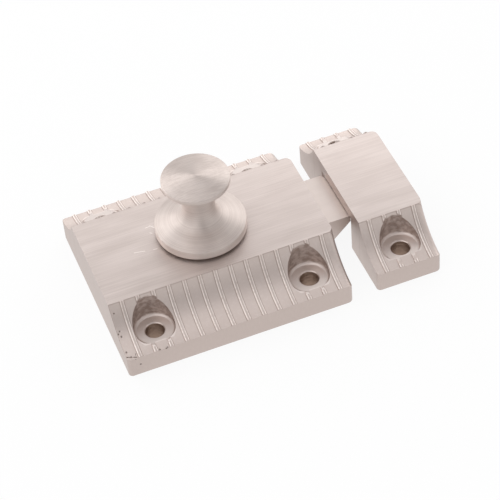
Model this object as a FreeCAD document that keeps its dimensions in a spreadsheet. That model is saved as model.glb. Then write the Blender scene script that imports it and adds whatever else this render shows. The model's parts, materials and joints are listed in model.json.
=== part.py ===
# Surface-mounted cabinet latch: a ribbed case with a turning knob, a sprung bolt and a matching strike.
# X runs along the bolt towards the strike, Z stands up from the door, and the origin lies on the
# mounting plane below the knob's axis. Lengths are in millimetres.

import FreeCAD, Part
import math
import os

import Sketcher

SIZES = (
    ("case_length", 57.0, "case, end to end along the bolt"),
    ("case_width", 51.0, "case, across the bolt"),
    ("case_height", 13.6, "case, door to flat top"),
    ("case_edge_height", 5.6, "case, door to the low outer edge"),
    ("top_width", 28.2, "flat top of case and strike, across the bolt"),
    ("cove_radius", 15.5, "hollow curve between flat top and low edge"),
    ("square_end_corner", 1.0, "upright corners of the case's left end and of the strike's near end"),
    ("round_end_corner", 1.5, "right ends of case and strike, upright corners and along the coves"),
    ("rib_width", 1.0, "one rib, along the bolt"),
    ("rib_height", 0.28, "one rib, out of the cove"),
    ("rib_shoulder", 0.22, "rounded shoulders of a rib"),
    ("rib_pitch", 3.877, "rib to rib"),
    ("case_rib_count", 14, "ribs on each side of the case"),
    ("strike_rib_count", 4, "ribs on each side of the strike"),
    ("screw_spacing_along", 39.2, "mounting holes of the case, along the bolt"),
    ("screw_spacing_across", 39.0, "mounting holes, across the bolt"),
    ("screw_hole_radius", 2.25, "mounting hole"),
    ("sink_radius", 2.5, "bevelled rim of the hole at the recess floor"),
    ("sink_depth", 0.25, "bevelled rim of the hole, deep"),
    ("recess_radius", 5.0, "screw recess"),
    ("recess_foot_radius", 0.8, "fillet at the foot of the recess wall"),
    ("recess_floor", 6.2, "door to recess floor"),
    ("core_wall", 2.4, "wall left over the hollow sides of the case"),
    ("core_length", 25.0, "hollow sides, along the bolt"),
    ("core_start", 15.8, "centre plane to the inner wall of a hollow side"),
    ("rim_wall", 2.3, "outer rim of a hollow side"),
    ("boss_radius", 8.0, "round boss under the knob"),
    ("boss_height", 0.5, "boss, above the flat top"),
    ("spindle_radius", 3.0, "spindle where it turns in the boss"),
    ("spindle_clearance", 0.05, "running clearance of the spindle, on radius"),
    ("square_side", 4.2, "squared lower end of the spindle, across flats"),
    ("square_clearance", 0.03, "squared hole over squared end, each side"),
    ("stem_radius", 2.5, "upper end of the spindle, held in the knob"),
    ("stem_length", 8.0, "upper end of the spindle, long"),
    ("stem_clearance", 0.02, "stem in the knob, on radius"),
    ("knob_gap", 0.3, "boss to the underside of the knob"),
    ("skirt_radius", 11.1, "knob's skirt"),
    ("skirt_band", 2.3, "upright band round the skirt"),
    ("skirt_edge", 0.2, "softened edges of the skirt"),
    ("neck_radius", 4.05, "knob's neck"),
    ("flare_radius", 4.4, "hollow flare from the neck to the skirt"),
    ("flare_centre_height", 22.3, "door to the flare's centre"),
    ("throat_height", 25.8, "door to the top of the neck"),
    ("throat_radius", 5.2, "hollow curve under the head"),
    ("head_radius", 8.25, "knob's head"),
    ("head_rim_bottom", 29.5, "door to the lower edge of the head's rim"),
    ("head_rim", 1.3, "rim round the head"),
    ("head_edge", 0.25, "softened edges of the rim"),
    ("dome_height", 0.8, "dome on the head"),
    ("channel_clearance", 0.15, "bolt to the channel wall, each side"),
    ("channel_head_clearance", 0.2, "bolt to the channel roof"),
    ("rear_wall", 3.0, "end wall of the case behind the spring"),
    ("spring_seat_depth", 0.9, "spring seat in the end wall"),
    ("plate_thickness", 1.2, "back plate"),
    ("plate_sink", 0.1, "back plate below the case's rim"),
    ("plate_width", 28.0, "back plate, across the bolt"),
    ("plate_edge_gap", 0.1, "play round the back plate"),
    ("plate_rear_gap", 1.4, "case end to the back plate"),
    ("plate_shoulder", 2.4, "case end to the plate's shoulders beside the bolt"),
    ("plate_screw_along", 44.0, "back plate screws, along the bolt"),
    ("plate_screw_across", 22.6, "back plate screws, across the bolt"),
    ("plate_screw_radius", 1.0, "back plate screw"),
    ("plate_screw_head", 1.9, "back plate screw head"),
    ("plate_screw_length", 5.0, "back plate screw, long"),
    ("thread_clearance", 0.02, "screw in its hole, on radius"),
    ("thread_runout", 0.5, "hole past the end of its screw or stem"),
    ("bolt_width", 16.0, "bolt"),
    ("bolt_top", 10.0, "door to the bolt's top"),
    ("bolt_lift", 0.2, "back plate to the bolt"),
    ("bolt_reach", 6.9, "bolt's tip past the case's end"),
    ("bolt_travel", 7.0, "bolt's travel"),
    ("bolt_nose", 1.75, "upright face of the bolt's tip"),
    ("bolt_head_length", 21.4, "full-height block of the bolt"),
    ("nose_cut_along", 1.05, "corner cut of the tip, along the bolt"),
    ("nose_cut_across", 2.1, "corner cut of the tip, across the bolt"),
    ("tail_top", 5.0, "door to the top of the bolt's tail"),
    ("tail_rear", 13.5, "knob's axis to the rear of the bolt's tail"),
    ("lug_thickness", 2.5, "upright lug on the tail, along the bolt"),
    ("lug_top", 7.3, "door to the top of the lug"),
    ("pilot_radius", 1.6, "pilot that centres the spring"),
    ("pilot_length", 2.0, "pilot, long"),
    ("crank_radius", 5.45, "spindle to crank pin"),
    ("crank_sweep", 80.0, "turn of the knob, in degrees"),
    ("crank_thickness", 2.0, "crank plate"),
    ("crank_hub_radius", 4.6, "crank plate round the spindle"),
    ("crank_eye_radius", 2.1, "crank plate round the pin"),
    ("pin_radius", 1.25, "crank pin"),
    ("pin_foot", 2.2, "door to the lower end of the crank pin"),
    ("slot_clearance", 0.28, "crank pin to its slot in the bolt"),
    ("washer_thickness", 0.4, "washer on the spindle"),
    ("washer_radius", 5.6, "washer on the spindle, outside"),
    ("crank_screw_radius", 1.5, "screw that holds the crank"),
    ("crank_screw_length", 5.5, "screw that holds the crank, in the spindle"),
    ("crank_screw_head", 2.8, "head of that screw"),
    ("crank_screw_head_height", 1.5, "head of that screw, high"),
    ("driver_slot", 0.7, "driver slot, wide and deep"),
    ("spring_radius", 2.25, "bolt spring, to the middle of its wire"),
    ("spring_wire", 0.35, "bolt spring's wire radius"),
    ("spring_coils", 6, "turns of the bolt spring"),
    ("strike_gap", 6.5, "case to strike as they lie together"),
    ("strike_length", 16.8, "strike, along the bolt"),
    ("strike_width", 50.0, "strike, across the bolt"),
    ("strike_height", 13.3, "strike, door to flat top"),
    ("strike_edge_height", 5.4, "strike, door to the low outer edge"),
    ("strike_wall", 2.2, "end wall of the strike's pocket"),
    ("mouth_clearance", 0.4, "bolt to the strike's pocket, each side and above"),
    ("mouth_corner", 0.9, "upright corners of the strike's pocket, inside and at its mouth"),
    ("overcut", 1.0, "how far a cut is drawn past the surface that it leaves by"),
)


class Size:
    """A size from the sheet, or one worked out from several: its number, and the text that binds it."""

    def __init__(self, value, text):
        self.value = value
        self.text = text

    def __add__(self, other):
        other = as_size(other)
        return Size(self.value + other.value, f"({self.text} + {other.text})")

    def __sub__(self, other):
        other = as_size(other)
        return Size(self.value - other.value, f"({self.text} - {other.text})")

    def __mul__(self, other):
        other = as_size(other)
        return Size(self.value * other.value, f"({self.text} * {other.text})")

    def __truediv__(self, other):
        other = as_size(other)
        return Size(self.value / other.value, f"({self.text} / {other.text})")

    def __radd__(self, other):
        return as_size(other) + self

    def __rsub__(self, other):
        return as_size(other) - self

    def __rmul__(self, other):
        return as_size(other) * self

    def __neg__(self):
        return Size(-self.value, f"(0 - {self.text})")


def as_size(number):
    return number if isinstance(number, Size) else Size(float(number), repr(float(number)))


def root(size):
    return Size(math.sqrt(size.value), f"sqrt({size.text})")


def turned_by(kind, size):
    """The angle in degrees whose sine or tangent is the size, for kind asin or atan."""
    return Size(math.degrees(getattr(math, kind)(size.value)), f"{kind}({size.text})")


doc = FreeCAD.newDocument("cabinet_latch")
sheet = doc.addObject("Spreadsheet::Sheet", "sizes")
dim = {}
for row, (alias, number, note) in enumerate(SIZES, start=1):
    sheet.set(f"A{row}", note)
    sheet.set(f"B{row}", str(number))
    sheet.setAlias(f"B{row}", alias)
    dim[alias] = Size(float(number), f"sizes.{alias}")
doc.recompute()

pieces = []


def new_body(label, along=None, turn_deg=None):
    """A body of its own for one piece, moved along X and turned about Z by bound sizes."""
    body = doc.addObject("PartDesign::Body", label)
    body.Label = label
    if along is not None:
        body.setExpression("Placement.Base.x", along.text)
    if turn_deg is not None:
        body.setExpression("Placement.Rotation.Angle", turn_deg.text)
    pieces.append(body)
    return body


def origin_item(body, role):
    """One of the body's own origin planes or axes."""
    return [item for item in body.Origin.OriginFeatures if item.Role == role][0]


def new_sketch(body, role, name, lift=None):
    """A sketch on one of the body's own origin planes, lifted off it by a bound size."""
    sketch = body.newObject("Sketcher::SketchObject", name)
    sketch.AttachmentSupport = [(origin_item(body, role), "")]
    sketch.MapMode = "FlatFace"
    if lift is not None:
        sketch.AttachmentOffset = FreeCAD.Placement(FreeCAD.Vector(0, 0, lift.value), FreeCAD.Rotation())
        sketch.setExpression("AttachmentOffset.Base.z", as_size(lift).text)
    return sketch


def hold(sketch, kind, *arguments):
    """Add a constraint whose last argument is a size, and bind it to the sheet."""
    size = as_size(arguments[-1])
    index = sketch.addConstraint(Sketcher.Constraint(kind, *arguments[:-1], size.value))
    sketch.setExpression(f"Constraints[{index}]", size.text)


def outline(sketch, corners):
    """A closed outline. A corner is (across, up) or, where an arc leads to the next, (across, up, radius).

    A positive radius has its centre on the left of the way to the next corner.
    """
    points = [(as_size(corner[0]), as_size(corner[1])) for corner in corners]
    ends = []
    for number, corner in enumerate(corners):
        start = FreeCAD.Vector(points[number][0].value, points[number][1].value, 0)
        after = points[(number + 1) % len(points)]
        stop = FreeCAD.Vector(after[0].value, after[1].value, 0)
        if len(corner) == 2:
            index = sketch.addGeometry(Part.LineSegment(start, stop), False)
            ends.append((index, 1, 2))
            continue
        radius = as_size(corner[2])
        chord = stop - start
        left = FreeCAD.Vector(-chord.y, chord.x, 0) / chord.Length
        depth = math.sqrt(radius.value ** 2 - chord.Length ** 2 / 4)
        centre = (start + stop) / 2 + left * math.copysign(depth, radius.value)
        first, last = (start, stop) if radius.value > 0 else (stop, start)
        angles = [math.atan2(end.y - centre.y, end.x - centre.x) for end in (first, last)]
        circle = Part.Circle(centre, FreeCAD.Vector(0, 0, 1), abs(radius.value))
        index = sketch.addGeometry(Part.ArcOfCircle(circle, angles[0], angles[1]), False)
        ends.append((index, 1, 2) if radius.value > 0 else (index, 2, 1))
        size = radius if radius.value > 0 else -radius
        hold(sketch, "Radius", index, size)
    for number, (index, start_end, stop_end) in enumerate(ends):
        after = ends[(number + 1) % len(ends)]
        sketch.addConstraint(Sketcher.Constraint("Coincident", index, stop_end, after[0], after[1]))
        hold(sketch, "DistanceX", -1, 1, index, start_end, points[number][0])
        hold(sketch, "DistanceY", -1, 1, index, start_end, points[number][1])


def rectangle(sketch, low_x, low_y, high_x, high_y):
    outline(sketch, [(low_x, low_y), (high_x, low_y), (high_x, high_y), (low_x, high_y)])


def circle(sketch, across, up, radius):
    across, up, radius = as_size(across), as_size(up), as_size(radius)
    centre = FreeCAD.Vector(across.value, up.value, 0)
    index = sketch.addGeometry(Part.Circle(centre, FreeCAD.Vector(0, 0, 1), radius.value), False)
    hold(sketch, "DistanceX", -1, 1, index, 3, across)
    hold(sketch, "DistanceY", -1, 1, index, 3, up)
    hold(sketch, "Radius", index, radius)


def upright_axis(sketch, across, height):
    """The construction line that a groove turns about. FreeCAD calls it Axis0."""
    foot = FreeCAD.Vector(across.value, 0, 0)
    line = sketch.addGeometry(Part.LineSegment(foot, foot + FreeCAD.Vector(0, height.value, 0)), True)
    sketch.addConstraint(Sketcher.Constraint("Vertical", line))
    hold(sketch, "DistanceX", -1, 1, line, 1, across)
    hold(sketch, "DistanceY", -1, 1, line, 1, 0.0)
    hold(sketch, "DistanceY", line, 1, line, 2, height)


def finished(body, feature, grows):
    """Recompute, then make sure that the feature added or took material as it should."""
    before = body.Tip.Shape.Volume if body.Tip and body.Tip is not feature else 0.0
    if feature.BaseFeature:
        before = feature.BaseFeature.Shape.Volume
    doc.recompute()
    body.Tip = feature
    doc.recompute()
    change = feature.Shape.Volume - before
    if (change > 0) is not grows or abs(change) < 1e-4:
        raise RuntimeError(f"{body.Label}: {feature.Name} changed the volume by {change:.4f}")
    return feature


def pad(body, sketch, name, length, midplane=False, reverse=False):
    feature = body.newObject("PartDesign::Pad", name)
    feature.Profile = sketch
    feature.setExpression("Length", as_size(length).text)
    if midplane:
        feature.SideType = "Symmetric"
    feature.Reversed = reverse
    return finished(body, feature, True)


def pocket(body, sketch, name, length, upward=True, midplane=False):
    """Cut from the sketch along its own normal, or against it where upward is false."""
    feature = body.newObject("PartDesign::Pocket", name)
    feature.Profile = sketch
    feature.setExpression("Length", as_size(length).text)
    if midplane:
        feature.SideType = "Symmetric"
    feature.Reversed = upward
    return finished(body, feature, False)


def turn(body, sketch, kind, name, axis):
    feature = body.newObject(f"PartDesign::{kind}", name)
    feature.Profile = sketch
    feature.ReferenceAxis = (sketch, [axis])
    feature.Angle = 360.0
    return finished(body, feature, kind == "Revolution")


def on_other_side(body, cut, name):
    """Repeat a cut across the XZ plane."""
    feature = body.newObject("PartDesign::Mirrored", name)
    feature.Originals = [cut]
    feature.MirrorPlane = (origin_item(body, "XZ_Plane"), [""])
    return finished(body, feature, False)


def in_four_quarters(body, cut, name):
    """Repeat a cut across the XZ plane, and both of those across the YZ plane."""
    feature = body.newObject("PartDesign::MultiTransform", name)
    feature.Originals = [cut]
    steps = []
    for role in ("XZ_Plane", "YZ_Plane"):
        step = body.newObject("PartDesign::Mirrored", f"{name}_{role[:2].lower()}")
        step.MirrorPlane = (origin_item(body, role), [""])
        steps.append(step)
    feature.Transformations = steps
    return finished(body, feature, False)


def round_edges(body, name, radius, wanted):
    """Fillet the edges of the body that wanted picks."""
    base = body.Tip
    names = [f"Edge{number}" for number, edge in enumerate(base.Shape.Edges, start=1) if wanted(edge)]
    if not names:
        raise RuntimeError(f"{body.Label}: no edge for {name}")
    feature = body.newObject("PartDesign::Fillet", name)
    feature.Base = (base, names)
    feature.setExpression("Radius", as_size(radius).text)
    doc.recompute()
    body.Tip = feature
    doc.recompute()
    return feature


def upright_edge(edge, across, along):
    """True for a straight edge along Z at a distance from the XZ plane, and at one of the places along X."""
    ends = [vertex.Point for vertex in edge.Vertexes]
    if len(ends) != 2 or (ends[0] - ends[1]).cross(FreeCAD.Vector(0, 0, 1)).Length > 1e-6:
        return False
    return abs(abs(ends[0].y) - across) < 1e-4 and min(abs(ends[0].x - place) for place in along) < 1e-4


def side_of_end(edge, along):
    """True for an edge of the end face at one X that climbs: an upright corner or the edge of a cove."""
    box = edge.BoundBox
    return abs(box.XMin - along) < 1e-4 and abs(box.XMax - along) < 1e-4 and box.ZLength > 1e-4


def round_ends(body, end, side):
    """Soften a casting's ends: upright corners on the left, upright corners and coves on the right."""
    round_edges(body, "left_end", dim["square_end_corner"], lambda edge: upright_edge(edge, side, (-end,)))
    round_edges(body, "right_end", dim["round_end_corner"], lambda edge: side_of_end(edge, end))


# Places that several pieces share.
overcut = dim["overcut"]
half_length = dim["case_length"] / 2
half_top = dim["top_width"] / 2
boss_top = dim["case_height"] + dim["boss_height"]
knob_bottom = boss_top + dim["knob_gap"]
plate_top = dim["plate_sink"] + dim["plate_thickness"]
bolt_bottom = plate_top + dim["bolt_lift"]
bolt_tip = half_length + dim["bolt_reach"]
half_bolt = dim["bolt_width"] / 2
channel_roof = dim["bolt_top"] + dim["channel_head_clearance"]
half_channel = half_bolt + dim["channel_clearance"]
channel_rear = half_length - dim["rear_wall"]
washer_bottom = channel_roof - dim["washer_thickness"]
crank_bottom = washer_bottom - dim["crank_thickness"]
half_sweep_text = f"({dim['crank_sweep'].text} / 2 * 1 deg)"
half_sweep = math.radians(dim["crank_sweep"].value / 2)
sweep_sine = Size(math.sin(half_sweep), f"sin{half_sweep_text}")
sweep_cosine = Size(math.cos(half_sweep), f"cos{half_sweep_text}")
pin_along = dim["crank_radius"] * sweep_sine
pin_nearest = dim["crank_radius"] * sweep_cosine
spring_height = (bolt_bottom + dim["lug_top"]) / 2
strike_start = half_length + dim["strike_gap"]
strike_centre = strike_start + dim["strike_length"] / 2


def cove_centre(half_width, height, edge_height):
    """Centre of the cove on the +Y side, from its two ends: (half_top, height) and (half_width, edge)."""
    across = half_width - half_top
    down = height - edge_height
    chord = root(across * across + down * down)
    offset = root(dim["cove_radius"] * dim["cove_radius"] - chord * chord / 4)
    centre_y = (half_top + half_width) / 2 + offset * down / chord
    centre_z = (height + edge_height) / 2 + offset * across / chord
    return centre_y, centre_z


def coved_block(body, length, half_width, height, edge_height):
    """The section that case and strike share, a flat top between two coves, along X."""
    sketch = new_sketch(body, "YZ_Plane", "section")
    outline(sketch, [
        (-half_width, 0.0),
        (half_width, 0.0),
        (half_width, edge_height, -dim["cove_radius"]),
        (half_top, height),
        (-half_top, height, -dim["cove_radius"]),
        (-half_width, edge_height),
    ])
    return pad(body, sketch, "block", length, midplane=True)


def ribs(body, count, half_width, height, edge_height):
    """Ribs up both coves: one is revolved round the cove's axis, then repeated and mirrored."""
    centre_y, centre_z = cove_centre(half_width, height, edge_height)
    across = half_width - half_top
    down = height - edge_height
    half_chord = root(across * across + down * down) / 2
    slope = turned_by("atan", across / down)
    half_span = turned_by("asin", half_chord / dim["cove_radius"])
    first = -(dim["rib_pitch"] * (count - 1) / 2)
    place = FreeCAD.Vector(first.value, centre_y.value, centre_z.value)

    sketch = new_sketch(body, "XY_Plane", "rib_section")
    sketch.AttachmentOffset = FreeCAD.Placement(place, FreeCAD.Rotation(FreeCAD.Vector(1, 0, 0), slope.value))
    sketch.setExpression("AttachmentOffset.Base.x", first.text)
    sketch.setExpression("AttachmentOffset.Base.y", centre_y.text)
    sketch.setExpression("AttachmentOffset.Base.z", centre_z.text)
    sketch.setExpression("AttachmentOffset.Rotation.Angle", slope.text)
    half_rib = dim["rib_width"] / 2
    shoulder = dim["rib_shoulder"]
    root_line = -(dim["cove_radius"] + dim["rib_height"])
    top_line = dim["rib_height"] - dim["cove_radius"]
    outline(sketch, [
        (half_rib, root_line),
        (half_rib, top_line - shoulder, shoulder),
        (half_rib - shoulder, top_line),
        (shoulder - half_rib, top_line, shoulder),
        (-half_rib, top_line - shoulder),
        (-half_rib, root_line),
    ])
    rib = body.newObject("PartDesign::Revolution", "rib")
    rib.Profile = sketch
    rib.ReferenceAxis = (sketch, ["H_Axis"])
    rib.Midplane = True
    rib.setExpression("Angle", (half_span * 2).text)
    finished(body, rib, True)

    row = body.newObject("PartDesign::LinearPattern", "rib_row")
    row.Direction = (origin_item(body, "X_Axis"), [""])
    row.setExpression("Length", (dim["rib_pitch"] * (count - 1)).text)
    row.setExpression("Occurrences", count.text)
    side = body.newObject("PartDesign::Mirrored", "rib_side")
    side.MirrorPlane = (origin_item(body, "XZ_Plane"), [""])
    both = body.newObject("PartDesign::MultiTransform", "all_ribs")
    both.Originals = [rib]
    both.Transformations = [row, side]
    return finished(body, both, True)


def screw_recess(body, height, along):
    """A round recess with a soft foot, a countersink and the mounting hole, turned about its own axis."""
    across = dim["screw_spacing_across"] / 2
    sketch = new_sketch(body, "XZ_Plane", "recess_section", lift=across)
    floor = dim["recess_floor"]
    foot = dim["recess_foot_radius"]
    outline(sketch, [
        (along, -overcut),
        (along + dim["screw_hole_radius"], -overcut),
        (along + dim["screw_hole_radius"], floor - dim["sink_depth"]),
        (along + dim["sink_radius"], floor),
        (along + dim["recess_radius"] - foot, floor, foot),
        (along + dim["recess_radius"], floor + foot),
        (along + dim["recess_radius"], height + overcut),
        (along, height + overcut),
    ])
    upright_axis(sketch, along, height)
    return turn(body, sketch, "Groove", "recess", "Axis0")


def make_case():
    body = new_body("case")
    half_width, height, edge_height = dim["case_width"] / 2, dim["case_height"], dim["case_edge_height"]
    coved_block(body, dim["case_length"], half_width, height, edge_height)
    ribs(body, dim["case_rib_count"], half_width, height, edge_height)
    round_ends(body, half_length.value, half_width.value)
    recess = screw_recess(body, height, dim["screw_spacing_along"] / 2)
    in_four_quarters(body, recess, "recesses")

    sketch = new_sketch(body, "XY_Plane", "boss_circle", lift=height)
    circle(sketch, 0.0, 0.0, dim["boss_radius"])
    pad(body, sketch, "boss", dim["boss_height"])

    sketch = new_sketch(body, "XY_Plane", "channel_outline")
    rectangle(sketch, -channel_rear, -half_channel, half_length + overcut, half_channel)
    pocket(body, sketch, "channel", channel_roof)

    sketch = new_sketch(body, "XY_Plane", "spindle_circle")
    circle(sketch, 0.0, 0.0, dim["spindle_radius"] + dim["spindle_clearance"])
    pocket(body, sketch, "spindle_bore", boss_top + overcut)

    sketch = new_sketch(body, "YZ_Plane", "seat_circle", lift=-(channel_rear + dim["spring_seat_depth"]))
    circle(sketch, 0.0, spring_height, dim["spring_radius"] + dim["spring_wire"] * 2)
    pocket(body, sketch, "spring_seat", dim["spring_seat_depth"] + overcut)

    half_plate = dim["plate_width"] / 2 + dim["plate_edge_gap"]
    rear = -(half_length - dim["plate_rear_gap"] + dim["plate_edge_gap"])
    shoulder = half_length - dim["plate_shoulder"] + dim["plate_edge_gap"]
    sketch = new_sketch(body, "XY_Plane", "plate_rebate_outline")
    rectangle(sketch, rear, -half_plate, shoulder, half_plate)
    pocket(body, sketch, "plate_rebate", plate_top)

    sketch = new_sketch(body, "XY_Plane", "plate_screw_circle")
    hole_radius = dim["plate_screw_radius"] + dim["thread_clearance"]
    circle(sketch, dim["plate_screw_along"] / 2, dim["plate_screw_across"] / 2, hole_radius)
    hole = pocket(body, sketch, "plate_screw_hole", dim["plate_screw_length"] + dim["thread_runout"])
    in_four_quarters(body, hole, "plate_screw_holes")

    centre_y, centre_z = cove_centre(half_width, height, edge_height)
    inner = dim["cove_radius"] + dim["core_wall"]
    outer_y = half_width - dim["rim_wall"]
    inner_y = dim["core_start"]

    def roof(across):
        """Height of the hollow's roof, a curve one wall below the cove."""
        return centre_z - root(inner * inner - (centre_y - across) * (centre_y - across))

    sketch = new_sketch(body, "YZ_Plane", "hollow_section")
    outline(sketch, [
        (inner_y, -overcut),
        (outer_y, -overcut),
        (outer_y, roof(outer_y), -inner),
        (inner_y, roof(inner_y)),
    ])
    hollow = pocket(body, sketch, "hollow", dim["core_length"], midplane=True)
    on_other_side(body, hollow, "other_hollow")



def make_strike():
    body = new_body("strike", along=strike_centre)
    half_width, height, edge_height = dim["strike_width"] / 2, dim["strike_height"], dim["strike_edge_height"]
    half_strike = dim["strike_length"] / 2
    coved_block(body, dim["strike_length"], half_width, height, edge_height)
    ribs(body, dim["strike_rib_count"], half_width, height, edge_height)
    round_ends(body, half_strike.value, half_width.value)
    recess = screw_recess(body, height, as_size(0.0))
    on_other_side(body, recess, "other_recess")

    half_mouth = half_bolt + dim["mouth_clearance"]
    sketch = new_sketch(body, "XY_Plane", "mouth_outline")
    rectangle(sketch, -half_strike - overcut, -half_mouth, half_strike - dim["strike_wall"], half_mouth)
    pocket(body, sketch, "mouth", dim["bolt_top"] + dim["mouth_clearance"])
    inner_x = (half_strike - dim["strike_wall"]).value
    mouth_y = half_mouth.value
    mouth_x = (inner_x, -half_strike.value)
    round_edges(body, "mouth_corners", dim["mouth_corner"], lambda edge: upright_edge(edge, mouth_y, mouth_x))


def make_bolt():
    """Square-shouldered block with a bevel under its tip, and a low slotted tail behind it."""
    body = new_body("bolt")
    nose_bottom = dim["bolt_top"] - dim["bolt_nose"]
    sketch = new_sketch(body, "XZ_Plane", "side_outline")
    block_rear = bolt_tip - dim["bolt_head_length"]
    lug_front = dim["lug_thickness"] - dim["tail_rear"]
    outline(sketch, [
        (-dim["tail_rear"], bolt_bottom),
        (bolt_tip - (nose_bottom - bolt_bottom), bolt_bottom),
        (bolt_tip, nose_bottom),
        (bolt_tip, dim["bolt_top"]),
        (block_rear, dim["bolt_top"]),
        (block_rear, dim["tail_top"]),
        (lug_front, dim["tail_top"]),
        (lug_front, dim["lug_top"]),
        (-dim["tail_rear"], dim["lug_top"]),
    ])
    pad(body, sketch, "block", dim["bolt_width"], midplane=True)

    sketch = new_sketch(body, "XY_Plane", "nose_cut_outline")
    outline(sketch, [
        (bolt_tip - dim["nose_cut_along"], half_bolt),
        (bolt_tip, half_bolt - dim["nose_cut_across"]),
        (bolt_tip + overcut, half_bolt - dim["nose_cut_across"]),
        (bolt_tip + overcut, half_bolt + overcut),
        (bolt_tip - dim["nose_cut_along"], half_bolt + overcut),
    ])
    pocket(body, sketch, "nose_cut", dim["bolt_top"] + overcut)

    play = dim["pin_radius"] + dim["slot_clearance"]
    near, far = -(pin_nearest), -dim["crank_radius"]
    sketch = new_sketch(body, "XY_Plane", "slot_outline")
    outline(sketch, [
        (pin_along + play, far),
        (pin_along + play, near, play),
        (pin_along, near + play, play),
        (pin_along - play, near),
        (pin_along - play, far, play),
        (pin_along, far - play, play),
    ])
    pocket(body, sketch, "slot", dim["tail_top"] + overcut)

    sketch = new_sketch(body, "YZ_Plane", "pilot_circle", lift=-dim["tail_rear"])
    circle(sketch, 0.0, spring_height, dim["pilot_radius"])
    pad(body, sketch, "pilot", dim["pilot_length"], reverse=True)


def make_knob():
    """One turning: a domed head, a neck and a flared skirt, with a blind bore for the spindle."""
    body = new_body("knob")
    bottom = knob_bottom
    band_top = bottom + dim["skirt_band"]
    edge = dim["skirt_edge"]
    skirt = dim["skirt_radius"]
    neck = dim["neck_radius"]
    flare = dim["flare_radius"]
    centre_r = neck + flare
    centre_z = dim["flare_centre_height"]
    across = skirt - edge - centre_r
    down = centre_z - band_top
    far = root(across * across + down * down)
    share = flare / far
    side = root(1.0 - share * share)
    touch_r = centre_r + flare * (share * across - side * down) / far
    touch_z = centre_z - flare * (share * down + side * across) / far
    rim_bottom = dim["head_rim_bottom"]
    rim_top = rim_bottom + dim["head_rim"]
    head = dim["head_radius"]
    soft = dim["head_edge"]
    dome = dim["dome_height"]
    dome_r = head - soft
    dome_radius = (dome_r * dome_r + dome * dome) / (dome * 2)
    bore = dim["stem_radius"] + dim["stem_clearance"]
    bore_top = bottom + dim["stem_length"] + dim["thread_runout"]
    sketch = new_sketch(body, "XZ_Plane", "profile")
    outline(sketch, [
        (bore, bottom),
        (skirt - edge, bottom, edge),
        (skirt, bottom + edge),
        (skirt, band_top - edge, edge),
        (skirt - edge, band_top),
        (touch_r, touch_z, -flare),
        (neck, centre_z),
        (neck, dim["throat_height"], -dim["throat_radius"]),
        (head - soft, rim_bottom, soft),
        (head, rim_bottom + soft),
        (head, rim_top - soft, soft),
        (head - soft, rim_top, dome_radius),
        (0.0, rim_top + dome),
        (0.0, bore_top),
        (bore, bore_top),
    ])
    turn(body, sketch, "Revolution", "turning", "V_Axis")


# The crank is drawn with its pin on +X, and stands turned back from -Y by half of the knob's sweep.
# The spindle's square and the crank's pin stand with it.
crank_turn = dim["crank_sweep"] / 2 - 90.0


def make_spindle():
    body = new_body("spindle", turn_deg=crank_turn)
    sketch = new_sketch(body, "XY_Plane", "shaft_circle", lift=washer_bottom)
    circle(sketch, 0.0, 0.0, dim["spindle_radius"])
    pad(body, sketch, "shaft", knob_bottom - washer_bottom)
    sketch = new_sketch(body, "XY_Plane", "stem_circle", lift=knob_bottom)
    circle(sketch, 0.0, 0.0, dim["stem_radius"])
    pad(body, sketch, "stem", dim["stem_length"])
    sketch = new_sketch(body, "XY_Plane", "square_outline", lift=crank_bottom)
    half = dim["square_side"] / 2
    rectangle(sketch, -half, -half, half, half)
    pad(body, sketch, "square", dim["crank_thickness"])
    sketch = new_sketch(body, "XY_Plane", "thread_circle", lift=crank_bottom)
    circle(sketch, 0.0, 0.0, dim["crank_screw_radius"] + dim["thread_clearance"])
    pocket(body, sketch, "thread_hole", dim["crank_screw_length"] + dim["thread_runout"])


def make_spindle_washer():
    body = new_body("spindle_washer")
    sketch = new_sketch(body, "XY_Plane", "ring", lift=washer_bottom)
    circle(sketch, 0.0, 0.0, dim["washer_radius"])
    circle(sketch, 0.0, 0.0, dim["spindle_radius"] + dim["spindle_clearance"])
    pad(body, sketch, "disc", dim["washer_thickness"])


def make_crank():
    body = new_body("crank", turn_deg=crank_turn)
    hub, eye, reach = dim["crank_hub_radius"], dim["crank_eye_radius"], dim["crank_radius"]
    share = (hub - eye) / reach
    side = root(1.0 - share * share)
    sketch = new_sketch(body, "XY_Plane", "crank_outline", lift=crank_bottom)
    outline(sketch, [
        (hub * share, hub * side, hub),
        (-hub, 0.0, hub),
        (hub * share, -hub * side),
        (reach + eye * share, -eye * side, eye),
        (reach + eye * share, eye * side),
    ])
    pad(body, sketch, "plate", dim["crank_thickness"])
    half = dim["square_side"] / 2 + dim["square_clearance"]
    sketch = new_sketch(body, "XY_Plane", "square_hole_outline", lift=crank_bottom)
    rectangle(sketch, -half, -half, half, half)
    pocket(body, sketch, "square_hole", dim["crank_thickness"])
    sketch = new_sketch(body, "XY_Plane", "pin_hole_circle", lift=crank_bottom)
    circle(sketch, reach, 0.0, dim["pin_radius"] + dim["thread_clearance"])
    pocket(body, sketch, "pin_hole", dim["crank_thickness"])


def make_crank_pin():
    body = new_body("crank_pin", turn_deg=crank_turn)
    sketch = new_sketch(body, "XY_Plane", "pin_circle", lift=dim["pin_foot"])
    circle(sketch, dim["crank_radius"], 0.0, dim["pin_radius"])
    pad(body, sketch, "pin", washer_bottom - dim["pin_foot"])


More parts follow.
